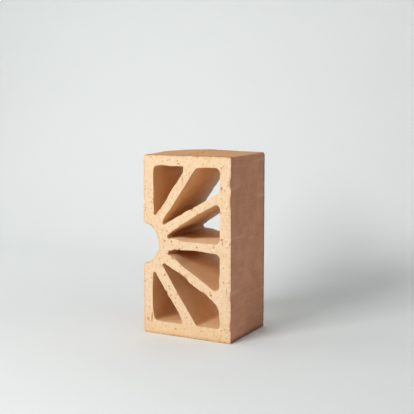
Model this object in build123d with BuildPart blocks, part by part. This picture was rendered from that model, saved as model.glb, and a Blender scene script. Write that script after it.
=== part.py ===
from build123d import *
import math
import os

# A fired clay screen block, extruded and wire-cut, standing on its short end.
# Six wedge-shaped openings fan out like half a sun from a round notch in one
# long side. X runs across the face, Y through the block from front to back and
# Z up. The origin is at the centre of the bottom face.

# Outline of the face
block_height = 240.0
block_width = 130.0
block_depth = 100.0
outline_radius = 2.5

# The notch is a little under half a circle: its centre lies outside the block
# by half a mortar joint, so that two blocks laid side by side close a circle.
notch_radius = 27.5
half_joint = 3.5
notch_lip_radius = 2.5

# Walls round the fan, with the thicker one at the foot
top_wall = 14.5
bottom_wall = 17.5
notch_side_wall = 15.0
plain_side_wall = 16.0
hub_wall = 16.0

# Ribs, which all point at one spot just inside the middle of the notched side
middle_rib = 12.0
flat_rib = 12.0
steep_rib = 12.5
flat_rib_angle = 30.5
steep_rib_angle = 55.5
fan_centre_inset = 1.0
corner_opening_width = 45.5

# Rounding of the openings, as the die leaves it. The least radius goes to the
# narrow tips round the hub and to the feet.
least_radius = 2.0
corner_radius = 5.0
tight_rib_end_radius = 7.0
wide_rib_end_radius = 10.0

# Places on the face, with U across it and V up it as in its sketches
left_u = -block_width / 2
fan_u = left_u + fan_centre_inset
fan_v = (bottom_wall + block_height - top_wall) / 2
notch_u = left_u - half_joint
hub_radius = notch_radius + hub_wall
ribs = (
    (0, middle_rib),
    (flat_rib_angle, flat_rib),
    (-flat_rib_angle, flat_rib),
    (steep_rib_angle, steep_rib),
    (-steep_rib_angle, steep_rib),
)

# The field is the clear rectangle inside the four walls, which the fan fills.
field_left_u = left_u + notch_side_wall
field_right_u = -left_u - plain_side_wall
field_width = field_right_u - field_left_u
field_half_height = (block_height - top_wall - bottom_wall) / 2

# Each steep rib ends in a foot that squares off the thin corner of the opening
# beside it. The foot is as tall as it takes to run into the rib's own edge.
steep_slope = math.tan(math.radians(steep_rib_angle))
steep_rib_half_run = steep_rib / 2 / math.sin(math.radians(steep_rib_angle))
steep_rib_end_u = fan_u + field_half_height / steep_slope
foot_u = field_left_u + corner_opening_width
foot_width = steep_rib_end_u - foot_u
foot_height = (foot_width - steep_rib_half_run) * steep_slope
foot_v = field_half_height - foot_height / 2

# Height above the fan's middle at which a flat rib's centre line meets the wall
flat_rib_end_v = (field_right_u - fan_u) * math.tan(math.radians(flat_rib_angle))


def near(value, target):
    return abs(value - target) < 0.01


def on_end_wall(corner):
    return near(abs(corner.Y - fan_v), field_half_height)


def on_plain_wall_between_flat_ribs(corner):
    return near(corner.X, field_right_u) and abs(corner.Y - fan_v) < flat_rib_end_v


def on_plain_wall_beyond_flat_ribs(corner):
    beyond = flat_rib_end_v < abs(corner.Y - fan_v) < field_half_height - 1
    return near(corner.X, field_right_u) and beyond


def on_foot(corner):
    return near(corner.X, foot_u)


with BuildSketch() as face_outline:
    with Locations((0, block_height / 2)):
        Rectangle(block_width, block_height)
    fillet(face_outline.vertices(), outline_radius)
    with Locations((notch_u, fan_v)):
        Circle(notch_radius, mode=Mode.SUBTRACT)
    notch_lips = face_outline.vertices().filter_by(
        lambda corner: near(corner.X, left_u) and abs(corner.Y - fan_v) < notch_radius
    )
    fillet(notch_lips, notch_lip_radius)

with BuildSketch() as fan:
    with Locations(((field_left_u + field_right_u) / 2, fan_v)):
        Rectangle(field_width, 2 * field_half_height)
    with Locations((notch_u, fan_v)):
        Circle(hub_radius, mode=Mode.SUBTRACT)
    with Locations((fan_u, fan_v)):
        for angle, thickness in ribs:
            Rectangle(
                block_width + block_height,
                thickness,
                rotation=angle,
                align=(Align.MIN, Align.CENTER),
                mode=Mode.SUBTRACT,
            )
    for side in (-1, 1):
        with Locations((foot_u + foot_width / 2, fan_v + side * foot_v)):
            Rectangle(foot_width, foot_height, mode=Mode.SUBTRACT)

    fillet(fan.vertices().filter_by(on_plain_wall_between_flat_ribs), tight_rib_end_radius)
    fillet(fan.vertices().filter_by(on_plain_wall_beyond_flat_ribs), wide_rib_end_radius)
    fillet(fan.vertices().filter_by(lambda c: on_end_wall(c) and not on_foot(c)), corner_radius)
    offset(amount=-least_radius, kind=Kind.INTERSECTION)
    offset(amount=least_radius, kind=Kind.ARC)

with BuildPart() as screen_block:
    with BuildSketch(Plane.XZ.offset(-block_depth / 2)):
        add(face_outline.sketch)
        add(fan.sketch, mode=Mode.SUBTRACT)
    extrude(amount=block_depth)

screen_block.part.label = "screen_block"
os.makedirs("parts", exist_ok=True)
export_step(screen_block.part, "parts/screen_block.step")
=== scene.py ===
import math
import random
import bpy
import numpy as np
from mathutils import Matrix, Vector, noise
from mathutils.geometry import delaunay_2d_cdt
from mathutils.kdtree import KDTree


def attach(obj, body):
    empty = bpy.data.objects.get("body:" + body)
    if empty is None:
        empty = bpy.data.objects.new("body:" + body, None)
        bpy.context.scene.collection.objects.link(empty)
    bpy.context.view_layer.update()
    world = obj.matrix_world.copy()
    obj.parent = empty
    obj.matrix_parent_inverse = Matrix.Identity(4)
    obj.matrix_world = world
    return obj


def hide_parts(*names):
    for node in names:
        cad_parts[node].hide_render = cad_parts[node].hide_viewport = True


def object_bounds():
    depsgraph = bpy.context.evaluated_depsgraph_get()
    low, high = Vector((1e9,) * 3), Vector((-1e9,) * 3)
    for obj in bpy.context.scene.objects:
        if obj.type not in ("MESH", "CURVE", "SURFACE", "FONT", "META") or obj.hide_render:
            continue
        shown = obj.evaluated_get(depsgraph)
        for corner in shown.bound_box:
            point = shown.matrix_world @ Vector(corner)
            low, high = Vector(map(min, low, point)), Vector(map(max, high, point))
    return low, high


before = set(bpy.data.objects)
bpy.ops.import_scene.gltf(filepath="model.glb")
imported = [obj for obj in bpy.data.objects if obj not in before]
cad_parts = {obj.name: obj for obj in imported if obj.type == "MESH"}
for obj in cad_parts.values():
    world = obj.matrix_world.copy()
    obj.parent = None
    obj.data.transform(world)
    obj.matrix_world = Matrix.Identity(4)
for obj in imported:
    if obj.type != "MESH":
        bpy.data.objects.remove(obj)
cadLow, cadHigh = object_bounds()

# A fired clay screen block, standing on its short end. The modelling works in millimetres,
# with x across the face, y from the front cut face to the back one and z up. Side is -1 for
# the front cut face and 1 for the back one. A ring is an outline on the cut faces, and its
# inward directions point into the clay.
mm = 0.001
halfDepth = cadHigh.y / mm
height = cadHigh.z / mm
sides = (-1, 1)

block = {
    "cadNode": "screen_block",
    "flush": 0.001,  # points this near to the front plane lie on it
    "ringStep": 0.95,  # between points round a ring
    "rows": (0, 0.35, 0.8, 1.5, 2.5, 4, 6, 9, 13, 18, 24, 31, 40, 50),  # in from a cut face
    "skinFull": 3,  # how far in from a cut face the die's skin is whole
    "bedFacing": (0.5, 0.95),  # how level an outer wall lies where it turns into a bed
}
rows = np.array(block["rows"], float)
fromFront = np.concatenate([rows, 2 * halfDepth - rows[-2::-1]])


def softStep(low, high, value):
    # 0 up to low and 1 from high on, and the other way round where low is the larger
    t = np.clip((value - low) / (high - low), 0, 1)
    return t * t * (3 - 2 * t)


def dome(reach):
    # 1 in the middle of a mark and 0 from its rim on, where reach is 1
    return np.clip(1 - reach**2, 0, None)


def fading(distance, reach):
    # 1 at no distance, falling evenly to 0 at the reach
    return np.clip(1 - distance / reach, 0, None)


def noiseAt(points, size, shift):
    # Noise from -1 to 1. Each use has its own shift, so that no two of them match.
    scaled = np.asarray(points, float) / np.asarray(size, float) + shift
    return np.array([noise.noise(p) for p in scaled.tolist()])


def ringArea(ring):
    # Above 0 where the ring turns to the left
    after = np.roll(ring, -1, axis=0)
    return 0.5 * np.sum(ring[:, 0] * after[:, 1] - after[:, 0] * ring[:, 1])


def frontRings(node):
    # Outlines of the front cut face as rings of (x, z), largest first, the clay always on
    # the left of travel
    spots = np.array([v.co for v in node.data.vertices]) / mm
    onFront = np.abs(spots[:, 1] + halfDepth) < block["flush"]
    uses = {}
    for polygon in node.data.polygons:
        corners = list(polygon.vertices)
        if all(onFront[c] for c in corners):
            for edge in map(frozenset, zip(corners, corners[1:] + corners[:1])):
                uses[edge] = uses.get(edge, 0) + 1
    beside = {}
    for edge in [edge for edge, count in uses.items() if count == 1]:
        a, b = sorted(edge)
        beside.setdefault(a, []).append(b)
        beside.setdefault(b, []).append(a)
    rings, seen = [], set()
    for start in sorted(beside):
        walk, onward = [], [start]
        while onward and onward[0] not in seen:
            walk.append(onward[0])
            seen.add(onward[0])
            onward = [n for n in beside[walk[-1]] if n not in seen]
        if walk:
            rings.append(spots[walk][:, [0, 2]])
    rings.sort(key=lambda ring: -abs(ringArea(ring)))
    return [ring if (ringArea(ring) > 0) == (i == 0) else ring[::-1] for i, ring in enumerate(rings)]


def evenRing(ring, step):
    # The same outline with its points a step apart
    closed = np.vstack([ring, ring[:1]])
    along = np.concatenate([[0], np.cumsum(np.linalg.norm(np.diff(closed, axis=0), axis=1))])
    count = round(along[-1] / step)
    at = np.arange(count) * along[-1] / count
    return np.stack([np.interp(at, along, closed[:, k]) for k in (0, 1)], axis=1)


def intoClay(ring):
    # The inward direction at each point
    along = np.roll(ring, -1, axis=0) - np.roll(ring, 1, axis=0)
    along /= np.linalg.norm(along, axis=1)[:, None]
    return np.stack([-along[:, 1], along[:, 0]], axis=1)


def away(ring, x, z, reach):
    # How far the points of a ring are from a place, in shares of its reach
    return np.hypot(ring[:, 0] - x, ring[:, 1] - z) / reach


# Where the openings stray from the drawing: x, z, the way the edge faces there in degrees
# (0 is +x and 90 is up), how far along it reaches, and how far the clay stands out
strays = (
    (-45, 80, 217, 40, 1.6),  # lower steep rib, fuller at the hub and at the foot
    (-18, 43, 217, 38, 1.3),
    (-6, 22, 200, 13, 2.4),
    (-3, 18, 150, 7, 1.6),
    (-28, 58, 215, 12, 1.1),
    (-30, 84, 37, 32, 0.8),
    (-50, 54, 0, 44, -1.6),  # wall beside the lower corner opening
    (-49, 21, 40, 12, 1.7),  # clay dragged into its corner
    (-20, 89, 240, 16, -1.3),  # lower flat rib, underside
    (-33, 95, 267, 6, -1.2),
    (-28, 93, 239, 8, -0.5),
    (-15, 86, 239, 10, -0.7),
    (37, 55, 239, 8, 0.4),
    (41, 53, 239, 6, -0.5),
    (46, 48, 220, 10, 2.2),
    (49, 40, 180, 14, 1.2),  # plain wall below it
    (-24, 105, 60, 24, 2.2),  # lower flat rib, upper side
    (10, 86, 60, 42, 0.7),
    (49, 80, 180, 13, 1.0),  # plain wall above it
    (13, 116, 270, 27, -1.5),  # underside of the middle rib, arched
    (-2, 116, 270, 9, -0.2),
    (-15, 115.5, 270, 8, -0.8),
    (-24, 115.5, 292, 6, 1.0),  # hub ends of the two inner openings, drawn to a point
    (-24, 115, 292, 7, 0.5),
    (-28, 114, 315, 5, 0.8),
    (-27, 112, 350, 6, -2.4),
    (-28, 110, 40, 5, 0.6),
    (-21, 127.5, 90, 17, 2.7),
    (-27, 129, 50, 6, 0.8),
    (-26, 132, 0, 5, -3.0),
    (-26, 137, 314, 6, 0.9),
    (14, 161, 300, 46, -1.8),  # upper flat rib
    (31, 170, 301, 8, -0.4),
    (46, 175, 240, 10, -2.4),
    (-30, 161, 326, 8, -0.7),
    (-27, 151, 110, 10, 0.8),
    (-10, 160, 120, 40, 0.8),
    (32, 186, 120, 8, -0.5),
    (-10, 190, 323, 45, 0.4),  # upper steep rib
    (-43, 163, 146, 8, 0.5),
    (-32, 179, 143, 14, -1.2),
    (-8, 213, 143, 17, -0.7),
    (17, 225, 290, 12, 0.6),  # top wall
    (47, 224, 234, 6, 0.5),
    (-4.5, 225.5, 225, 5, -0.9),
    (-8, 226, 270, 5, 0.6),
    (-12, 226, 270, 12, -0.9),
    (-30, 226, 270, 12, -0.5),
    (-40, 226, 270, 22, -1.1),
    (-49, 223, 320, 12, 1.1),
    (-50, 205, 0, 24, 0.4),  # wall beside the upper corner opening
    (-50, 189, 0, 16, 0.65),
    (-50, 167, 0, 14, 1.2),
)


def strayed(ring):
    outward = -intoClay(ring)
    out = np.zeros(len(ring))
    for x, z, way, reach, push in strays:
        facing = np.array([math.cos(math.radians(way)), math.sin(math.radians(way))])
        out += push * dome(away(ring, x, z, reach)) ** 2 * np.clip(outward @ facing, 0, None)
    return ring + outward * out[:, None]


# How the cutting wire tore the arrises
arris = {
    "worn": 0.1,
    "ragged": 0.5,
    "raggedLength": 1.8,
    "raggedMean": 0.2,  # added to the noise, so that more of the arris is ragged
    "chip": 1.4,
    "chipLength": 6.5,
    "chipFrom": 0.32,
    "chipFull": 0.75,
    "chipRough": 0.5,  # unevenness inside the chips that show on the front
    "chipRoughLength": 0.9,
    "uprightShare": 0.35,  # upright arrises tear less than the ones that the wire crosses
    "footShare": 0.5,  # and the foot less than the top
    "intoFace": 0.5,  # how far a tear runs down into the cut face, for each mm along it
    "spreadOnFace": 1.4,  # how far a tear reaches over the face, for each mm of it
    "spreadOnWall": 1.3,
    "spreadLeast": 0.3,
    "tornFrom": 0.35,  # tears from this size to the next show the browner clay below
    "tornFull": 1.0,
    "burr": 0.45,
    "burrLength": 3.5,
    "burrMean": 0.1,
    "burrReach": 1.5,  # in from the cut face
    "ripple": 0.6,  # of the clay dragged over an arris
    "rippleLength": 1.9,
    "rippleMean": 0.95,
    "noiseDepth": 0.8,  # where the noise of an arris is read, in shares of half the depth
}

# Painted shade along the outer arrises, as a darker rim: how much at the foot, at the top and up the sides
rimShade = {
    "shares": {-1: (1.0, 0.8, 0.7), 1: (1.0, 1.0, 1.0)},
    "width": {-1: 1.9, 1: 5.0},
    "widthOnBed": 13.0,
    "broken": 1.1,
    "brokenMean": 0.95,
    "brokenLength": 3.2,
}

# Torn places that show on the front: x, z, length along the arris, size
frontChips = (
    (-6, 80, 24, 1.3),
    (26, 61, 13, 0.9),
    (49, 218, 5, 0.8),
    (49, 210, 4, 0.7),
    (-6, 117, 4, 0.5),
    (-1, 117, 3, 0.5),
    (65, 207, 16, 1.5),
    (65, 183, 20, 1.2),
    (65, 130, 4, 0.5),
    (65, 62, 20, 0.9),
    (65, 24, 18, 0.7),
    (-65, 196, 5, 0.6),
    (-65, 167, 4, 0.8),
    (-65, 150, 6, 0.5),
    (-20, 0, 9, 0.5),
    (10, 0, 9, 0.5),
    (30, 0, 8, 0.6),
    (50, 0, 7, 0.7),
    (17, 240, 4, 0.9),
    (37, 240, 4, 0.6),
)

# Clay that the wire dragged over an arris into an opening: side, x, z, length, size
draggedClay = (
    (-1, -14, 158, 14, 0.6),
    (-1, 0, 166, 16, 0.7),
    (-1, 12, 173, 9, 0.4),
    (-1, 41, 53, 6, 0.9),
    (1, -26.5, 129, 9, 1.3),
    (1, -12, 129, 14, 0.5),
)


def onSide(ring, side):
    # Where the noise of an arris is read, so that the front and the back differ
    y = arris["noiseDepth"] * halfDepth * side
    return np.column_stack([ring[:, 0], np.full(len(ring), y), ring[:, 1]])


def arrisTear(ring, inward, side):
    at = onSide(ring, side)
    share = arris["uprightShare"] + (1 - arris["uprightShare"]) * np.abs(inward[:, 1])
    share = share * np.where(ring[:, 1] < 1, arris["footShare"], 1)
    ragged = np.clip(noiseAt(at, arris["raggedLength"], 3.1) + arris["raggedMean"], 0, None)
    chipped = softStep(arris["chipFrom"], arris["chipFull"], noiseAt(at, arris["chipLength"], 9.7))
    tear = arris["worn"] + (arris["ragged"] * ragged + arris["chip"] * chipped) * share
    if side < 0:
        rough = 1 + arris["chipRough"] * noiseAt(at, arris["chipRoughLength"], 5.3)
        for x, z, length, size in frontChips:
            tear += size * dome(away(ring, x, z, length / 2)) * rough
    return tear


def arrisBurr(ring, inward, side):
    at = onSide(ring, side)
    burr = arris["burr"] * np.clip(noiseAt(at, arris["burrLength"], 21.3) + arris["burrMean"], 0, None)
    burr *= np.abs(inward[:, 1])
    ripple = arris["rippleMean"] + arris["ripple"] * noiseAt(at, arris["rippleLength"], 8.8)
    for place, x, z, length, size in draggedClay:
        if place == side:
            burr += size * softStep(1, 0.5, away(ring, x, z, length / 2)) * np.clip(ripple, 0, None)
    return burr


def arrisRimShade(ring, inward, side):
    foot, top, upright = rimShade["shares"][side]
    share = upright + np.where(inward[:, 1] > 0, foot - upright, top - upright) * np.abs(inward[:, 1])
    broken = rimShade["broken"] * noiseAt(onSide(ring, side), rimShade["brokenLength"], 33.1)
    return share * np.clip(rimShade["brokenMean"] + broken, 0, 1)


def tornMask(tear):
    return softStep(arris["tornFrom"], arris["tornFull"], tear)


# Painted light on the upward-facing ledges of the openings near the front, strongest on the middle rib. It
# ends where the shadow of the rib above begins, which lies deeper towards the plain side.
dust = {
    "ledges": 0.35,
    "middleRib": 0.65,
    "facing": (0.3, 0.95),  # how far up a wall faces that gets none of the painted light, and all of it
    "fromMiddle": (24, 12),  # height above or below the middle, from the ledges to the middle rib
    "reach": 33,  # from the front at the middle, and more towards the plain side
    "slant": 0.75,
    "edge": 7,
}


def paintedLedgeLight(ring, inward):
    upward = softStep(*dust["facing"], -inward[:, 1])[:, None]
    onMiddle = softStep(*dust["fromMiddle"], np.abs(ring[:, 1] - height / 2))[:, None]
    reach = (dust["reach"] + dust["slant"] * ring[:, 0])[:, None]
    brightness = dust["ledges"] + dust["middleRib"] * onMiddle
    return upward * brightness * softStep(reach + dust["edge"], reach - dust["edge"], fromFront)


# Painted shade in the openings: darker deeper in from the front, and most of all in the narrow ends of the
# two inner openings, where little light reaches
soot = {
    "ends": 0.85,
    "endsDepth": (-5, 15),
    "fromMiddle": (26, 18),  # height above or below the middle, from none to all
    "fromPlain": (12, -22),  # x, from none to all
    "overall": 0.15,
    "overallDepth": (8, 35),
}


def paintedOpeningShade(ring):
    inner = softStep(*soot["fromMiddle"], np.abs(ring[:, 1] - height / 2))
    inner = inner * softStep(*soot["fromPlain"], ring[:, 0])
    ends = soot["ends"] * inner[:, None] * softStep(*soot["endsDepth"], fromFront)
    return ends + soot["overall"] * softStep(*soot["overallDepth"], fromFront)


# The skin that the die leaves on the sides and in the openings, drawn out along y
skin = {
    "swell": 0.2,
    "swellSize": (26, 90, 26),
    "streak": 0.06,
    "streakSize": (1.7, 70, 1.7),
    "groove": 0.5,
    "grooveSize": (1.2, 45, 1.2),
    "grooveFrom": 0.5,
    "grooveFull": 0.9,
}


def skinRelief(spots):
    swell = skin["swell"] * (noiseAt(spots, skin["swellSize"], 1.7) + 1) / 2
    streak = skin["streak"] * (noiseAt(spots, skin["streakSize"], 6.1) + 1) / 2
    grooved = softStep(skin["grooveFrom"], skin["grooveFull"], noiseAt(spots, skin["grooveSize"], 13.9))
    return swell + streak + skin["groove"] * grooved


# The wire-cut faces: their swell, the pits that dragged grains left, and their mesh points
cutFace = {
    "swell": 0.3,
    "swellSize": (22, 22, 45),
    "pits": {-1: 95, 1: 190},  # on each side, the marks seen in front among them
    "pitSeed": 5,
    "pitLength": (0.9, 3.0),
    "pitStretch": (1, 1, 1.6),
    "pitWidth": (0.5, 0.9),
    "pitDepth": {-1: (0.15, 0.4), 1: (0.2, 0.6)},
    "pitLean": 12,
    "widen": 2.0,  # a mark's width as it is seen, with its rim
    "sink": 0.35,  # how deep the mesh goes, for each mm of a mark's depth
    "sinkPower": 0.7,  # below 1 makes a pit's floor flatter
    "darkestDepth": 0.6,
    "darkReach": (0.65, 1.25),  # a pit is darkest up to the first, and not darker from the next
    "pitRings": (0, 0.55, 1.0, 1.35),  # rings of points in a pit, in shares of its reach
    "pitStep": 0.45,  # between points in a pit
    "lineFrom": 3,  # a mark longer than this also has points along its middle
    "lineShare": 0.85,
    "pitFromRing": 0.35,  # least distances between points
    "pitGap": 0.2,
    "lipRings": (0.45, 1.2),  # rings of points in from each outline
    "lipFromRing": 0.7,  # for each mm of the first lip ring
    "lipGap": 0.3,
    "gridStep": 2.0,
    "gridRow": 0.866,  # from row to row, in steps
    "gridJitter": 0.3,
    "gridSeed": 23,
    "gridFromLip": 0.45,  # in steps
    "gridGap": 0.5,
    "mergeWithin": 1e-7,
}

# Marks on the front: x, z, length, width, depth, lean from upright in degrees
frontMarks = (
    (-11, 229.5, 2.2, 1.5, 0.6, 20),
    (51.5, 226, 2.4, 1.1, 0.6, 0),
    (54.5, 228, 1.6, 1.4, 0.3, 60),
    (-5, 208, 11, 1.1, 0.3, 0),  # drag line
    (51.5, 200, 4.5, 1.5, 0.5, 5),
    (51.5, 195, 6, 0.9, 0.2, 0),
    (-52.5, 177.5, 3.4, 1.0, 0.35, -25),
    (-51, 176.5, 3.0, 0.9, 0.25, 30),
    (-32.5, 126, 1.8, 1.5, 0.45, 40),
    (-22, 126.5, 2.0, 1.4, 0.6, 70),
    (52, 134.5, 2.8, 1.9, 0.6, 10),
    (53, 130, 6, 1.1, 0.4, 0),  # its tail
    (44.5, 130, 2.0, 1.2, 0.45, -10),
    (15.5, 121.5, 2.3, 1.2, 0.6, 0),
    (40, 123.5, 2.5, 1.1, 0.45, 0),
    (60.5, 125.5, 1.6, 1.3, 0.35, 30),
    (63, 129, 3.0, 1.1, 0.4, 0),
    (54.5, 79.5, 2.2, 1.3, 0.55, 0),
    (59, 68, 10.5, 1.0, 0.3, 0),  # drag line
    (-29.5, 110, 1.2, 1.2, 0.7, 0),
    (-8.5, 94.5, 1.5, 1.2, 0.6, 0),
    (-40, 101, 4.0, 0.9, 0.25, 0),
    (-32.5, 81, 2.8, 1.6, 0.6, 10),
    (-26, 66.5, 2.2, 1.8, 0.45, 0),
    (-25, 63, 2.7, 1.2, 0.4, -10),
    (-23.5, 54.5, 3.0, 1.5, 0.45, 10),
    (-16, 45.5, 2.4, 1.2, 0.4, 0),
    (-10, 52, 2.5, 1.2, 0.3, 0),
    (36, 61, 3.0, 1.6, 0.55, 15),
    (-59, 19, 4.0, 1.8, 0.4, 8),
    (-52.5, 22, 14.5, 1.3, 0.5, -4),  # deep drag line
    (-31.5, 12.5, 1.5, 1.2, 0.35, 0),
    (-16, 10.5, 1.6, 1.3, 0.4, 0),
    (0, 27, 2.0, 2.4, 0.3, 0),
    (59.5, 15, 1.5, 1.2, 0.35, 0),
    (51.5, 9, 1.6, 1.2, 0.35, 0),
    (56.5, 1.5, 1.8, 1.2, 0.6, 0),
    (-62.5, 194, 2.9, 1.0, 0.35, 0),
    (-62.5, 166, 2.4, 1.1, 0.35, 0),
)


def faceSwell(flat, side):
    at = np.column_stack([flat[:, 0], np.full(len(flat), halfDepth * side), flat[:, 1]])
    return cutFace["swell"] * (noiseAt(at, cutFace["swellSize"], 4.4) + 1) / 2


def facePits(rings, side):
    draw = random.Random(cutFace["pitSeed"] + side)
    low, high = rings[0].min(axis=0), rings[0].max(axis=0)
    pits = list(frontMarks) if side < 0 else []
    while len(pits) < cutFace["pits"][side]:
        long = draw.uniform(*cutFace["pitLength"]) * draw.choice(cutFace["pitStretch"])
        pits.append((
            draw.uniform(low[0], high[0]),
            draw.uniform(low[1], high[1]),
            long,
            min(long, draw.uniform(*cutFace["pitWidth"])),
            draw.uniform(*cutFace["pitDepth"][side]),
            draw.gauss(0, cutFace["pitLean"]),
        ))
    return pits


def pitReach(flat, pit):
    # 0 at the middle of a pit and 1 at its rim
    x, z, long, wide, _, lean = pit
    turn = math.radians(lean)
    dx, dz = flat[:, 0] - x, flat[:, 1] - z
    down = dz * math.cos(turn) - dx * math.sin(turn)
    across = dx * math.cos(turn) + dz * math.sin(turn)
    return np.hypot(down / (long / 2), across / (wide * cutFace["widen"] / 2))


def pitPoints(pit):
    x, z, long, wide, _, lean = pit
    cosine, sine = math.cos(math.radians(lean)), math.sin(math.radians(lean))
    wide *= cutFace["widen"]
    spread = []  # down and across the pit
    for reach in cutFace["pitRings"]:
        count = max(1, round(math.pi * reach * (long + wide) / 2 / cutFace["pitStep"]))
        for i in range(count):
            angle = 2 * math.pi * i / count
            spread.append((math.cos(angle) * reach * long / 2, math.sin(angle) * reach * wide / 2))
    if long > cutFace["lineFrom"]:
        steps = int(long / cutFace["pitStep"] / 2)
        spread += [((i / (steps - 1) - 0.5) * long * cutFace["lineShare"], 0) for i in range(steps)]
    return [(x - down * sine + across * cosine, z + down * cosine + across * sine) for down, across in spread]


def insideClay(points, rings):
    # A point lies in the clay if a line from it to one side crosses the rings an odd number of times
    inside = np.zeros(len(points), bool)
    x, z = points[:, 0], points[:, 1]
    for ring in rings:
        for (ax, az), (bx, bz) in zip(ring.tolist(), np.roll(ring, -1, axis=0).tolist()):
            if az != bz:
                crosses = (az > z) != (bz > z)
                inside ^= crosses & (x < (bx - ax) * (z - az) / (bz - az) + ax)
    return inside


def nearestFinder(outline):
    tree = KDTree(len(outline))
    for i, (x, z) in enumerate(outline.tolist()):
        tree.insert((x, z, 0), i)
    tree.balance()

    def nearest(points):
        # Which outline point is nearest to each point, and how far away it is
        found = [tree.find((x, z, 0)) for x, z in points.tolist()]
        return [index for _, index, _ in found], np.array([distance for _, _, distance in found])

    return nearest


def thinned(points, fixed, gap):
    # Points that keep a gap to the fixed ones and to one another
    cells = {}
    kept = []

    def cellOf(x, z):
        return math.floor(x / gap), math.floor(z / gap)

    def crowded(x, z):
        i, j = cellOf(x, z)
        near = (p for di in (-1, 0, 1) for dj in (-1, 0, 1) for p in cells.get((i + di, j + dj), ()))
        return any((x - px) ** 2 + (z - pz) ** 2 < gap * gap for px, pz in near)

    for x, z in fixed.tolist():
        cells.setdefault(cellOf(x, z), []).append((x, z))
    for x, z in np.asarray(points).tolist():
        if not crowded(x, z):
            cells.setdefault(cellOf(x, z), []).append((x, z))
            kept.append((x, z))
    return np.array(kept).reshape(-1, 2)


def gridPoints(low, high):
    draw = random.Random(cutFace["gridSeed"])
    step, row, jitter = cutFace["gridStep"], cutFace["gridRow"], cutFace["gridJitter"]
    grid = []
    for j in range(int((high[1] - low[1]) / step / row) + 1):
        for i in range(int((high[0] - low[0]) / step) + 1):
            grid.append((
                low[0] + (i + 0.5 * (j % 2)) * step + draw.uniform(-jitter, jitter),
                low[1] + j * step * row + draw.uniform(-jitter, jitter),
            ))
    return np.array(grid)


def cutFacePoints(rings, inwards, pits, nearest):
    # Inner points of a cut face: pits first, then rings along its outline, then an even grid

    def wellInside(points, gap):
        points = points[insideClay(points, rings)]
        return points[nearest(points)[1] > gap]

    outline = np.vstack(rings)
    first, second = cutFace["lipRings"]
    step = cutFace["gridStep"]
    inPits = np.array([p for pit in pits for p in pitPoints(pit)])
    inPits = thinned(wellInside(inPits, cutFace["pitFromRing"]), outline, cutFace["pitGap"])
    lips = np.vstack(
        [ring + inward * first for ring, inward in zip(rings, inwards)]
        + [(ring + inward * second)[::2] for ring, inward in zip(rings, inwards)]
    )
    lips = wellInside(lips, first * cutFace["lipFromRing"])
    grid = gridPoints(outline.min(axis=0), outline.max(axis=0))
    grid = wellInside(grid, second + step * cutFace["gridFromLip"])
    lips = thinned(lips, inPits, cutFace["lipGap"])
    grid = thinned(grid, np.vstack([inPits, lips]), step * cutFace["gridGap"])
    return np.vstack([inPits, lips, grid])


def cutFaceMesh(rings, tear, rimShading, side):
    # One cut face, with its outline points first and its inner points after them. Sink is how
    # far a point goes into the block.
    pits = facePits(rings, side)
    outline = np.vstack(rings)
    onOutline = len(outline)
    nearest = nearestFinder(outline)
    inner = cutFacePoints(rings, [intoClay(ring) for ring in rings], pits, nearest)
    flat = np.vstack([outline, inner])
    edges, start = [], 0
    for ring in rings:
        edges += [(start + i, start + (i + 1) % len(ring)) for i in range(len(ring))]
        start += len(ring)
    corners = [Vector(p) for p in flat]
    made, _, faces, cameFrom, _, _ = delaunay_2d_cdt(corners, edges, [], 0, cutFace["mergeWithin"])
    source = [ids[0] for ids in cameFrom]
    if len(made) != len(flat):
        print("cut face points merged:", len(flat) - len(made))
    triangles = np.array([[source[c] for c in face] for face in faces])
    triangles = triangles[insideClay(flat[triangles].mean(axis=1), rings)]

    index, fromRing = nearest(inner)
    fade = fading(fromRing, arris["spreadOnFace"] * tear[index] + arris["spreadLeast"])
    sink = faceSwell(flat, side)
    sink[:onOutline] += arris["intoFace"] * tear
    sink[onOutline:] += arris["intoFace"] * tear[index] * fade
    # painted shade along the outer arrises, reaching a little over the cut face, kept together with the torn
    # clay
    shadedRim = rimShading[index] * fading(fromRing, rimShade["width"][side])
    tornAndRimShade = np.maximum(tornMask(tear[index]) * fade, shadedRim)
    pitClayAndShade = np.zeros(len(inner))
    for pit in pits:
        reach = pitReach(inner, pit)
        depth = pit[4]
        sink[onOutline:] += cutFace["sink"] * depth * dome(reach) ** cutFace["sinkPower"]
        # Pits are darker clay with painted shade in their hollows, the deeper pits darker
        shade = min(1, depth / cutFace["darkestDepth"])
        pitClayAndShade = np.maximum(pitClayAndShade, shade * (1 - softStep(*cutFace["darkReach"], reach)))
    return {"inner": inner, "triangles": triangles, "sink": sink, "tornAndRimShade": tornAndRimShade, "pitClayAndShade": pitClayAndShade}


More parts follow.
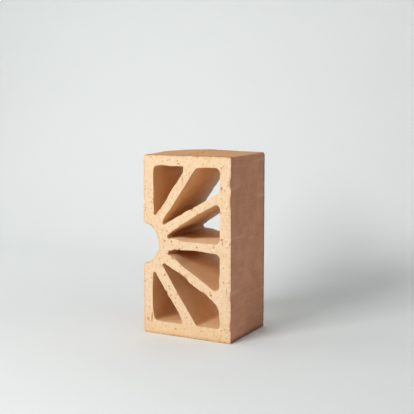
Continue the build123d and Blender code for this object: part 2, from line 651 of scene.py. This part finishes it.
def wallSheet(ring, inward, outer, sink, tear, burr, rimShading):
    # The wall from one cut face to the other along a ring, and its masks
    count, depth = len(ring), len(fromFront)
    share = fromFront / (2 * halfDepth)
    y = (-halfDepth + sink[-1])[:, None] * (1 - share) + (halfDepth - sink[1])[:, None] * share
    wall = np.stack([np.repeat(ring[:, 0], depth), y.ravel(), np.repeat(ring[:, 1], depth)], axis=1)
    moved = skinRelief(wall).reshape(count, depth)
    moved *= softStep(0, block["skinFull"], np.minimum(fromFront, fromFront[::-1]))
    bed = (softStep(*block["bedFacing"], np.abs(inward[:, 1])) * outer)[:, None]
    tornAndRimShade = np.zeros((count, depth))
    for side in sides:
        fromCut = fromFront[::-side]
        tearHere, burrHere = tear[side][:, None], burr[side][:, None]
        fade = fading(fromCut, arris["spreadOnWall"] * tearHere + arris["spreadLeast"])
        moved += tearHere * fade - burrHere * fading(fromCut, arris["burrReach"] + burrHere) ** 2
        # painted shade along the outer arrises, reaching further over the beds, kept together with the torn
        # clay
        rimShadingReach = rimShade["width"][side] * (1 - bed) + rimShade["widthOnBed"] * bed
        shadedRim = rimShading[side][:, None] * fading(fromCut, rimShadingReach)
        tornAndRimShade = np.maximum(tornAndRimShade, np.maximum(tornMask(tearHere) * fade, shadedRim))
    wall[:, 0] += np.repeat(inward[:, 0], depth) * moved.ravel()
    wall[:, 2] += np.repeat(inward[:, 1], depth) * moved.ravel()
    masks = {"tornAndRimShade": tornAndRimShade, "bed": np.repeat(bed, depth, axis=1)}
    if not outer:
        # painted light on the ledges near the front, and painted shade deep in the openings
        masks.update(dusty=paintedLedgeLight(ring, inward), sooty=paintedOpeningShade(ring))
    return wall, masks


# How the green block settled and bent before it was fired, most of it near the notched side
settling = {
    "topDip": 1.6,  # at the front of the notched side
    "topDipFrom": 40,
    "topDipWidth": 105,
    "cornerDip": 2.6,  # at its back corner
    "cornerReach": 48,
    "backDip": 0.95,  # at the back of the plain side
    "backDipFrom": (-30, 50),
    "dipFrom": 120,
    "lean": 1.6,  # how far the notched side leans in at the top
    "leanFrom": -38,
    "notchedSide": -65,
}


def settled(spots):
    x, y, z = spots.T
    toNotch = np.clip((settling["topDipFrom"] - x) / settling["topDipWidth"], 0, 1)
    toBack = softStep(-halfDepth, halfDepth, y)
    fromCorner = np.hypot(x - settling["notchedSide"], y - halfDepth)
    dip = settling["topDip"] * toNotch * (1 - toBack)
    dip += settling["cornerDip"] * fading(fromCorner, settling["cornerReach"])
    dip += settling["backDip"] * toBack * softStep(*settling["backDipFrom"], x)
    bent = spots.copy()
    leaning = softStep(settling["leanFrom"], settling["notchedSide"], x)
    bent[:, 0] += settling["lean"] * z / height * leaning
    bent[:, 2] -= dip * softStep(settling["dipFrom"], height, z)
    return bent


def clayBlock():
    drawn = [evenRing(ring, block["ringStep"]) for ring in frontRings(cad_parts[block["cadNode"]])]
    outlines = drawn[:1] + [strayed(ring) for ring in drawn[1:]]
    both = [(ring, intoClay(ring)) for ring in outlines]
    tears = [{side: arrisTear(*pair, side) for side in sides} for pair in both]
    burrs = [{side: arrisBurr(*pair, side) * (k > 0) for side in sides} for k, pair in enumerate(both)]
    rimShadings = [{side: arrisRimShade(*pair, side) * (k == 0) for side in sides} for k, pair in enumerate(both)]
    faces = {}
    for side in sides:
        cut = [
            ring + inward * (tear[side] - burr[side])[:, None]
            for (ring, inward), tear, burr in zip(both, tears, burrs)
        ]
        tearAround = np.concatenate([tear[side] for tear in tears])
        rimShadingAround = np.concatenate([rimShading[side] for rimShading in rimShadings])
        faces[side] = cutFaceMesh(cut, tearAround, rimShadingAround, side)
    print("cut faces done")

    spots, quads, triangles, quadFinish = [], [], [], []
    masks = {"tornAndRimShade": [], "pitClayAndShade": [], "bed": [], "dusty": [], "sooty": []}

    def addSheet(points, found):
        spots.append(points)
        for name, values in masks.items():
            values.append(found[name].ravel() if name in found else np.zeros(len(points)))

    cutIds = {-1: [], 1: []}
    start = offset = 0
    for k, (ring, inward) in enumerate(both):
        count, depth = len(ring), len(fromFront)
        sink = {side: faces[side]["sink"][offset: offset + count] for side in sides}
        addSheet(*wallSheet(ring, inward, k == 0, sink, tears[k], burrs[k], rimShadings[k]))
        ids = start + np.arange(count * depth).reshape(count, depth)
        after = np.roll(ids, -1, axis=0)
        quads.append(np.stack([ids[:, :-1], ids[:, 1:], after[:, 1:], after[:, :-1]], axis=2).reshape(-1, 4))
        quadFinish += [1 if k == 0 else 2] * len(quads[-1])
        cutIds[-1].append(ids[:, 0])
        cutIds[1].append(ids[:, -1])
        offset += count
        start += count * depth
    for side in sides:
        face = faces[side]
        inner, ownSink = face["inner"], face["sink"][offset:]
        addSheet(np.column_stack([inner[:, 0], side * (halfDepth - ownSink), inner[:, 1]]), face)
        lookup = np.concatenate([*cutIds[side], start + np.arange(len(inner))])
        triangles.append(lookup[face["triangles"][:, ::-side]])
        start += len(inner)
    spots = settled(np.vstack(spots))
    quads, triangles = np.vstack(quads), np.vstack(triangles)
    mesh = bpy.data.meshes.new("screen_block_clay")
    mesh.from_pydata((spots * mm).tolist(), [], quads.tolist() + triangles.tolist())
    mesh.polygons.foreach_set("material_index", quadFinish + [0] * len(triangles))
    mesh.polygons.foreach_set("use_smooth", [True] * (len(quads) + len(triangles)))
    for name, values in masks.items():
        layer = mesh.attributes.new(name, "FLOAT", "POINT")
        layer.data.foreach_set("value", np.concatenate(values).astype(np.float32))
    mesh.update()
    print("block mesh:", len(spots), "points,", 2 * len(quads) + len(triangles), "triangles")
    return bpy.data.objects.new("screen_block_clay", mesh)


# Shader groups shared by the clay finishes. Sizes are in millimetres.
def startGroup(name, inputs, outputs):
    group = bpy.data.node_groups.new(name, "ShaderNodeTree")
    for label, kind, value in inputs:
        socket = group.interface.new_socket(name=label, in_out="INPUT", socket_type=kind)
        if value is not None:
            socket.default_value = value
    for label, kind in outputs:
        group.interface.new_socket(name=label, in_out="OUTPUT", socket_type=kind)
    return group, group.nodes.new("NodeGroupInput").outputs, group.nodes.new("NodeGroupOutput").inputs


def fillSockets(tree, node, values):
    for name, value in values.items():
        if isinstance(value, bpy.types.NodeSocket):
            tree.links.new(value, node.inputs[name])
        else:
            node.inputs[name].default_value = value


def addNode(tree, kind, inputs=None, **settings):
    node = tree.nodes.new("ShaderNode" + kind)
    for name, value in settings.items():
        setattr(node, name, value)
    fillSockets(tree, node, inputs or {})
    return node


def useGroup(tree, group, **inputs):
    node = tree.nodes.new("ShaderNodeGroup")
    node.node_tree = group
    fillSockets(tree, node, {name.replace("_", " "): value for name, value in inputs.items()})
    return node.outputs


def mathOf(tree, operation, a, b=0.0):
    return addNode(tree, "Math", {0: a, 1: b}, operation=operation).outputs[0]


def vectorMath(tree, operation, *inputs):
    node = addNode(tree, "VectorMath", dict(enumerate(inputs)), operation=operation)
    return node.outputs["Value" if operation == "LENGTH" else "Vector"]


def inRange(tree, value, low, high, outLow=0.0, outHigh=1.0):
    inputs = {"Value": value, "From Min": low, "From Max": high, "To Min": outLow, "To Max": outHigh}
    return addNode(tree, "MapRange", inputs, interpolation_type="SMOOTHSTEP").outputs["Result"]


def noiseField(tree, place, scale, detail, roughness=0.5):
    return addNode(tree, "TexNoise", {
        "Vector": place, "Scale": scale, "Detail": detail, "Roughness": roughness,
    }).outputs


def mixColour(tree, share, a, b):
    return addNode(tree, "Mix", {0: share, 6: a, 7: b}, data_type="RGBA").outputs[2]


def inverse(tree, size):
    return mathOf(tree, "DIVIDE", 1.0, size)


def makeGroups():
    colour, value, vector = "NodeSocketColor", "NodeSocketFloat", "NodeSocketVector"
    groups = {}

    # Soft clouds of two tones
    tree, given, made = startGroup(
        "clayClouds",
        [("Place", vector, None), ("Size", value, 12.0), ("Light", colour, None), ("Dark", colour, None),
         ("Dark Share", value, 0.5)],
        [("Colour", colour)],
    )
    softness = 0.22
    wide = noiseField(tree, given["Place"], inverse(tree, given["Size"]), 5.0, 0.62)["Fac"]
    level = mathOf(tree, "SUBTRACT", 1.0, given["Dark Share"])
    low, high = (mathOf(tree, way, level, softness) for way in ("SUBTRACT", "ADD"))
    mask = inRange(tree, wide, low, high)
    tree.links.new(mixColour(tree, mask, given["Light"], given["Dark"]), made["Colour"])
    groups["clouds"] = tree

    # Small grains of another colour, scattered in the clay
    tree, given, made = startGroup(
        "clayGrains",
        [("Place", vector, None), ("Spacing", value, 2.0), ("Share", value, 0.3), ("Radius", value, 0.3)],
        [("Mask", value)],
    )
    average, bend, leastSize, firmCore = (0.5, 0.5, 0.5), (0.7, 0.7, 0.7), 0.4, 0.6
    wobble = noiseField(tree, given["Place"], 1.6, 2.0)["Color"]
    shift = vectorMath(tree, "SUBTRACT", wobble, average)
    bent = vectorMath(tree, "MULTIPLY_ADD", shift, bend, given["Place"])
    cells = addNode(tree, "TexVoronoi", {"Vector": bent, "Scale": inverse(tree, given["Spacing"])}).outputs
    fromMiddle = mathOf(tree, "MULTIPLY", cells["Distance"], given["Spacing"])
    parts = addNode(tree, "SeparateColor", {"Color": cells["Color"]}).outputs
    chosen = mathOf(tree, "LESS_THAN", parts[0], given["Share"])
    sized = mathOf(tree, "MULTIPLY", given["Radius"], mathOf(tree, "ADD", parts[1], leastSize))
    edge = inRange(tree, fromMiddle, mathOf(tree, "MULTIPLY", sized, firmCore), sized, 1.0, 0.0)
    tree.links.new(mathOf(tree, "MULTIPLY", edge, chosen), made["Mask"])
    groups["grains"] = tree

    # Lines drawn out one way, by the die or by the cutting wire
    tree, given, made = startGroup(
        "drawnLines",
        [("Place", vector, None), ("Stretch", vector, (1.0, 1.0, 0.04)), ("Size", value, 1.5),
         ("From", value, 0.55), ("Full", value, 0.72)],
        [("Height", value), ("Mask", value)],
    )
    drawn = vectorMath(tree, "MULTIPLY", given["Place"], given["Stretch"])
    coarse = noiseField(tree, drawn, inverse(tree, given["Size"]), 4.0, 0.6)["Fac"]
    tree.links.new(coarse, made["Height"])
    tree.links.new(inRange(tree, coarse, given["From"], given["Full"]), made["Mask"])
    groups["lines"] = tree

    # Open grain of fired clay: fine roughness with pores
    tree, given, made = startGroup(
        "clayPores",
        [("Place", vector, None), ("Grain", value, 0.5), ("Pore Spacing", value, 1.4)],
        [("Height", value), ("Pores", value)],
    )
    closedShare, poreRadius = 0.55, (0.1, 0.3)  # of the cells, and in cells
    fine = noiseField(tree, given["Place"], inverse(tree, given["Grain"]), 6.0, 0.7)["Fac"]
    spacing = inverse(tree, given["Pore Spacing"])
    cells = addNode(tree, "TexVoronoi", {"Vector": given["Place"], "Scale": spacing}).outputs
    parts = addNode(tree, "SeparateColor", {"Color": cells["Color"]}).outputs
    opened = mathOf(tree, "GREATER_THAN", parts[2], closedShare)
    hole = inRange(tree, cells["Distance"], *poreRadius, 1.0, 0.0)
    pore = mathOf(tree, "MULTIPLY", hole, opened)
    tree.links.new(mathOf(tree, "SUBTRACT", fine, pore), made["Height"])
    tree.links.new(pore, made["Pores"])
    groups["pores"] = tree

    # The foot of the block, darker unevenly up to a height
    tree, given, made = startGroup(
        "footDarkening", [("Place", vector, None), ("Height", value, 40.0)], [("Mask", value)]
    )
    evenShare = 0.5
    cloud = noiseField(tree, given["Place"], 0.07, 3.0)["Fac"]
    up = addNode(tree, "SeparateXYZ", {"Vector": given["Place"]}).outputs[2]
    uneven = mathOf(tree, "MULTIPLY", up, mathOf(tree, "ADD", cloud, evenShare))
    tree.links.new(inRange(tree, uneven, 0.0, given["Height"], 1.0, 0.0), made["Mask"])
    groups["foot"] = tree
    return groups


def startMaterial(name):
    material = bpy.data.materials.new(name)
    material.use_nodes = True
    tree = material.node_tree
    return material, tree, tree.nodes["Principled BSDF"], addNode(tree, "TexCoord").outputs["Object"]


def inMillimetres(tree, coords):
    return vectorMath(tree, "MULTIPLY", coords, (1000, 1000, 1000))


def maskNamed(tree, name):
    return addNode(tree, "Attribute", attribute_name=name).outputs["Fac"]


def layered(tree, colour, finish, masks):
    # Tints laid over a colour one after another, each as far as its mask and its share say
    for name, mask in masks.items():
        tint, share = finish[name]
        colour = mixColour(tree, mathOf(tree, "MULTIPLY", mask, share), colour, tint)
    return colour


def matte(tree, shader, colour, finish, pores, lines):
    # Colour, roughness and relief of a clay finish
    tree.links.new(colour, shader.inputs["Base Color"])
    shader.inputs["Roughness"].default_value = finish["roughness"]
    shader.inputs["Specular IOR Level"].default_value = 0.2
    poreHeight = mathOf(tree, "MULTIPLY", pores["Height"], finish["poreDepth"])
    lineHeight = mathOf(tree, "MULTIPLY", lines["Height"], finish["lineDepth"])
    relief = mathOf(tree, "ADD", poreHeight, lineHeight)
    bump = addNode(tree, "Bump", {"Strength": 1.0, "Distance": mm, "Height": relief})
    tree.links.new(bump.outputs["Normal"], shader.inputs["Normal"])


# The finishes: two tones of clay, then tints in the order in which they lie over it, each
# with its greatest share
wireCut = {
    "light": (0.87, 0.65, 0.43, 1),
    "dark": (0.81, 0.55, 0.32, 1),
    "foot": ((0.80, 0.54, 0.295, 1), 0.5),
    "lowest": ((0.74, 0.43, 0.20, 1), 0.5),
    "lines": ((0.81, 0.55, 0.32, 1), 0.25),
    "flecks": ((0.74, 0.43, 0.20, 1), 0.6),
    "specks": ((0.62, 0.30, 0.11, 1), 0.7),
    "pores": ((0.55, 0.27, 0.10, 1), 0.2),
    # torn clay, and painted shade along the outer arrises
    "tornAndRimShade": ((0.55, 0.27, 0.10, 1), 0.8),
    # darker clay in the pits, with painted shade in their hollows
    "pitClayAndShade": ((0.44, 0.15, 0.03, 1), 0.9),
    "footHeight": 42.0,
    "lowestHeight": 8.0,
    "roughness": 0.85,
    "poreDepth": 0.2,
    "lineDepth": 0.2,
}


def wireCutClay(groups):
    material, tree, shader, coords = startMaterial("wire_cut_clay")
    place = inMillimetres(tree, coords)
    tone = useGroup(
        tree, groups["clouds"], Place=place, Size=4.0, Dark_Share=0.45,
        Light=wireCut["light"], Dark=wireCut["dark"],
    )
    lines = useGroup(tree, groups["lines"], Place=place, Stretch=(1.0, 1.0, 0.05), Size=1.1)
    specks = useGroup(tree, groups["grains"], Place=place, Spacing=3.6, Share=0.6, Radius=1.2)
    flecks = useGroup(tree, groups["grains"], Place=place, Spacing=2.6, Share=0.5, Radius=0.75)
    pores = useGroup(tree, groups["pores"], Place=place, Grain=0.55, Pore_Spacing=1.5)
    colour = layered(tree, tone["Colour"], wireCut, {
        "foot": useGroup(tree, groups["foot"], Place=place, Height=wireCut["footHeight"])["Mask"],
        "lowest": useGroup(tree, groups["foot"], Place=place, Height=wireCut["lowestHeight"])["Mask"],
        "lines": lines["Mask"],
        "flecks": flecks["Mask"],
        "specks": specks["Mask"],
        "pores": pores["Pores"],
        "tornAndRimShade": maskNamed(tree, "tornAndRimShade"),
        "pitClayAndShade": maskNamed(tree, "pitClayAndShade"),
    })
    matte(tree, shader, colour, wireCut, pores, lines)
    return material


outerSkin = {
    "name": "outer_skin_clay",
    "light": (0.76, 0.365, 0.217, 1),
    "dark": (0.66, 0.295, 0.167, 1),
    "bed": ((0.715, 0.362, 0.147, 1), 0.9),  # the top and bottom beds are paler
    "seam": ((0.20, 0.09, 0.045, 1), 0.9),  # dark dots along a seam in the beds
    # painted shade: darker towards the foot and towards the back of the plain side
    "foot": ((0.50, 0.22, 0.12, 1), 0.75),
    "lowest": ((0.34, 0.10, 0.025, 1), 0.95),
    "bands": ((0.86, 0.51, 0.335, 1), 0.55),
    "lines": ((0.86, 0.51, 0.335, 1), 0.385),
    "specks": ((0.36, 0.15, 0.065, 1), 0.5),
    # torn clay, and painted shade along the outer arrises
    "tornAndRimShade": ((0.42, 0.14, 0.035, 1), 0.85),
    "seamAt": -5.0,  # x of the seam
    "seamReach": (1.2, 3.4),  # the dots are whole up to the first, and gone from the next
    "seamStretch": (1.0, 0.35, 1.0),
    "footHeight": 100.0,
    "footDepth": (-40.0, 50.0),  # y, from none to all
    "lowestHeight": 7.5,
    "roughness": 0.8,
    "poreDepth": 0.16,
    "lineDepth": 0.28,
}

openingSkin = {
    "name": "opening_skin_clay",
    "light": (0.88, 0.55, 0.29, 1),
    "dark": (0.80, 0.46, 0.225, 1),
    # painted shade deep in the openings, darkest in the narrow ends of the inner ones
    "sooty": ((0.54, 0.235, 0.09, 1), 1.0),
    "ashen": ((0.86, 0.62, 0.44, 1), 0.7),  # painted light: greyer towards the back, where light from the pale paper behind reaches in
    # painted light on the upward ledges near the front
    "dusty": ((0.99, 0.75, 0.465, 1), 1.0),
    "bands": ((0.92, 0.63, 0.39, 1), 0.35),
    "lines": ((0.92, 0.63, 0.39, 1), 0.245),
    "specks": ((0.45, 0.20, 0.085, 1), 0.5),
    "tornAndRimShade": ((0.66, 0.33, 0.14, 1), 0.85),
    "paintedBacklightDepth": (0.0, 45.0),  # y, from none to all
    "roughness": 0.8,
    "poreDepth": 0.16,
    "lineDepth": 0.28,
}


def outerMasks(tree, groups, place):
    across, along, _ = addNode(tree, "SeparateXYZ", {"Vector": place}).outputs
    bed = maskNamed(tree, "bed")
    stretched = vectorMath(tree, "MULTIPLY", place, outerSkin["seamStretch"])
    dots = useGroup(tree, groups["grains"], Place=stretched, Spacing=2.5, Share=0.75, Radius=1.3)
    fromSeam = mathOf(tree, "ABSOLUTE", mathOf(tree, "SUBTRACT", across, outerSkin["seamAt"]))
    onSeam = mathOf(tree, "MULTIPLY", bed, inRange(tree, fromSeam, *outerSkin["seamReach"], 1.0, 0.0))
    # painted shade at the foot, deeper towards the back
    foot = useGroup(tree, groups["foot"], Place=place, Height=outerSkin["footHeight"])["Mask"]
    toBack = inRange(tree, along, *outerSkin["footDepth"])
    return {
        "bed": bed,
        "seam": mathOf(tree, "MULTIPLY", dots["Mask"], onSeam),
        "foot": mathOf(tree, "MULTIPLY", foot, toBack),
        "lowest": useGroup(tree, groups["foot"], Place=place, Height=outerSkin["lowestHeight"])["Mask"],
    }


def openingMasks(tree, groups, place):
    along = addNode(tree, "SeparateXYZ", {"Vector": place}).outputs[1]
    # Painted shade deep in the openings, painted light from the pale paper behind, and painted light on the
    # ledges near the front
    return {
        "sooty": maskNamed(tree, "sooty"),
        "ashen": inRange(tree, along, *openingSkin["paintedBacklightDepth"]),
        "dusty": maskNamed(tree, "dusty"),
    }


def dieSkinClay(groups, finish, ownMasks):
    material, tree, shader, coords = startMaterial(finish["name"])
    place = inMillimetres(tree, coords)
    tone = useGroup(
        tree, groups["clouds"], Place=place, Size=18.0, Dark_Share=0.5,
        Light=finish["light"], Dark=finish["dark"],
    )
    lines = useGroup(tree, groups["lines"], Place=place, Stretch=(1.0, 0.03, 1.0), Size=1.8)
    bands = useGroup(tree, groups["lines"], Place=place, Stretch=(1.0, 0.1, 1.0), Size=9.0)
    specks = useGroup(tree, groups["grains"], Place=place, Spacing=2.8, Share=0.3, Radius=0.4)
    pores = useGroup(tree, groups["pores"], Place=place, Grain=0.5, Pore_Spacing=1.8)
    colour = layered(tree, tone["Colour"], finish, {
        **ownMasks(tree, groups, place),
        "bands": bands["Mask"],
        "lines": lines["Mask"],
        "specks": specks["Mask"],
        "tornAndRimShade": maskNamed(tree, "tornAndRimShade"),
    })
    matte(tree, shader, colour, finish, pores, lines)
    return material


clay = clayBlock()
bpy.context.scene.collection.objects.link(clay)
groups = makeGroups()
clay.data.materials.append(wireCutClay(groups))
clay.data.materials.append(dieSkinClay(groups, outerSkin, outerMasks))
clay.data.materials.append(dieSkinClay(groups, openingSkin, openingMasks))
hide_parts(block["cadNode"])
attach(clay, "root")
print("clay done")

# A pale paper sweep behind the block, in metres: floor, round bend and wall. Far from the
# block, where the lamps no longer light it evenly, the paper and the world show one plain tone.
sweep = {
    "front": -4.0,
    "bend": 0.35,
    "radius": 0.42,
    "bendSteps": 48,
    "top": 3.0,
    "halfWidth": 4.0,
    "paintedLightTone": (0.945, 0.97, 0.965, 1),  # painted light, palest round the bend and less pale away from it
    "pale": (0.81, 0.835, 0.83, 1),
    "dim": (0.745, 0.765, 0.76, 1),  # deepens the block's shadow where it falls behind
    "farTone": (0.74, 0.76, 0.76, 1),
    "middle": (-0.3, 0.25, 0.03),
    "plainFrom": 0.95,
    "plainFull": 1.5,
}

# Soft spots of painted light and painted shadow on the paper: place of the middle, turn about z in degrees,
# size from the middle to the edge, and the share of that size which has the whole tone
paperSpots = {
    "wall": {"place": (-0.75, 0.5, 0.05), "turn": 0, "size": (1.5, 0.75, 0.75), "full": 0.2},
    "floor": {"place": (0.35, -0.25, 0.0), "turn": 0, "size": (1.0, 0.6, 0.6), "full": 0.33},
    "shadow": {"place": (0.047, 0.366, 0.0), "turn": -66, "size": (0.42, 0.17, 0.4), "full": 0.04},
}
floorLightShare = 0.4  # painted light of the floor spot, where the wall spot has 1


def paperSpot(tree, coords, place, turn, size, full):
    # 1 in the middle of a spot and 0 from its edge outwards
    mapping = addNode(tree, "Mapping", {
        "Vector": coords, "Location": place, "Rotation": (0, 0, math.radians(turn)), "Scale": size,
    }, vector_type="TEXTURE")
    return inRange(tree, vectorMath(tree, "LENGTH", mapping.outputs[0]), full, 1.0, 1.0, 0.0)


def paperMaterial():
    material, tree, shader, coords = startMaterial("pale_paper")
    shader.inputs["Roughness"].default_value = 0.9
    shader.inputs["Specular IOR Level"].default_value = 0.1
    lightOnWall, lightOnFloor, inShadow = (paperSpot(tree, coords, **spot) for spot in paperSpots.values())
    # The wall and floor spots paint light on the paper, and the shadow spot paints the block's shadow deeper
    share = mathOf(tree, "MAXIMUM", lightOnWall, mathOf(tree, "MULTIPLY", lightOnFloor, floorLightShare))
    tone = mixColour(tree, share, sweep["pale"], sweep["paintedLightTone"])
    tone = mixColour(tree, inShadow, tone, sweep["dim"])
    tree.links.new(tone, shader.inputs["Base Color"])
    fromMiddle = vectorMath(tree, "LENGTH", vectorMath(tree, "SUBTRACT", coords, sweep["middle"]))
    far = inRange(tree, fromMiddle, sweep["plainFrom"], sweep["plainFull"])
    seen = addNode(tree, "LightPath").outputs["Is Camera Ray"]
    plain = addNode(tree, "Emission", {"Color": sweep["farTone"], "Strength": 1.0})
    mixed = addNode(tree, "MixShader", {
        0: mathOf(tree, "MULTIPLY", far, seen), 1: shader.outputs[0], 2: plain.outputs[0],
    })
    tree.links.new(mixed.outputs[0], tree.nodes["Material Output"].inputs["Surface"])
    return material


def paperSweep():
    bend, radius, steps = sweep["bend"], sweep["radius"], sweep["bendSteps"]
    profile = [(sweep["front"], 0.0)]  # y and z
    for i in range(steps + 1):
        angle = math.pi / 2 * i / steps
        profile.append((bend + radius * math.sin(angle), radius * (1 - math.cos(angle))))
    profile.append((bend + radius, sweep["top"]))
    points = [(x, y, z) for y, z in profile for x in (-sweep["halfWidth"], sweep["halfWidth"])]
    faces = [(2 * i, 2 * i + 1, 2 * i + 3, 2 * i + 2) for i in range(len(profile) - 1)]
    mesh = bpy.data.meshes.new("paper_sweep")
    mesh.from_pydata(points, [], faces)
    mesh.polygons.foreach_set("use_smooth", [True] * len(faces))
    mesh.materials.append(paperMaterial())
    return bpy.data.objects.new("paper_sweep", mesh)


floor = paperSweep()
bpy.context.scene.collection.objects.link(floor)

# Soft lamps round the block: azimuth 0 stands in front of the face and 90 at its plain side.
# Light is what a white surface facing the lamp gives back, where 1 is white.
lamps = {
    "key": {"azimuth": -19, "elevation": 27.5, "wide": 0.85, "tall": 0.5, "light": 0.70},
    "front": {"azimuth": -2, "elevation": 20, "wide": 0.65, "tall": 0.4, "light": 0.115},
    "notchSide": {"azimuth": -80, "elevation": 50, "wide": 1.1, "tall": 1.1, "light": 0.16},
    "plainSide": {"azimuth": 70, "elevation": 45, "wide": 1.1, "tall": 1.1, "light": 0.085},
    "overhead": {"azimuth": 0, "elevation": 85, "wide": 1.5, "tall": 1.5, "light": 0.115},
}
lampDistance = 2.0
aim = Vector((0, 0, height / 2 * mm))


def outwards(azimuth, elevation):
    a, e = math.radians(azimuth), math.radians(elevation)
    return Vector((math.sin(a) * math.cos(e), -math.cos(a) * math.cos(e), math.sin(e)))


def softLamp(name, azimuth, elevation, wide, tall, light):
    data = bpy.data.lights.new(name, "AREA")
    data.shape = "RECTANGLE"
    data.size = wide
    data.size_y = tall
    data.energy = light * math.pi**2 * lampDistance**2
    lamp = bpy.data.objects.new(name, data)
    toLamp = outwards(azimuth, elevation)
    lamp.location = aim + toLamp * lampDistance
    lamp.rotation_mode = "QUATERNION"
    lamp.rotation_quaternion = toLamp.to_track_quat("Z", "Y")
    lamp.visible_camera = False
    bpy.context.scene.collection.objects.link(lamp)


def studioWorld():
    # The camera sees the plain tone, and the object gets no light from it
    world = bpy.data.worlds.new("studio")
    world.use_nodes = True
    tree = world.node_tree
    seen = addNode(tree, "LightPath").outputs["Is Camera Ray"]
    tone = mixColour(tree, seen, (0.0, 0.0, 0.0, 1), sweep["farTone"])
    tree.links.new(tone, tree.nodes["Background"].inputs["Color"])
    return world


for name, lamp in lamps.items():
    softLamp(name, **lamp)
bpy.context.scene.world = studioWorld()
print("stage and lamps done")

# The photo's view of the block
view = {
    "place": (602.9, -1112.4, 346.0),
    "azimuth": 28.30,
    "elevation": 8.05,
    "roll": 0.06,
    "lens": 83.39,
    "sensor": 36.0,
}


def photoCamera():
    data = bpy.data.cameras.new("camera")
    data.sensor_width = view["sensor"]
    data.lens = view["lens"]
    camera = bpy.data.objects.new("camera", data)
    camera.location = Vector(view["place"]) * mm
    camera.rotation_mode = "QUATERNION"
    facing = outwards(view["azimuth"], view["elevation"]).to_track_quat("Z", "Y")
    roll = Matrix.Rotation(math.radians(-view["roll"]), 4, "Z").to_quaternion()
    camera.rotation_quaternion = facing @ roll
    bpy.context.scene.collection.objects.link(camera)
    bpy.context.scene.camera = camera


photoCamera()
bpy.context.scene.view_settings.view_transform = "Standard"
print("camera done")
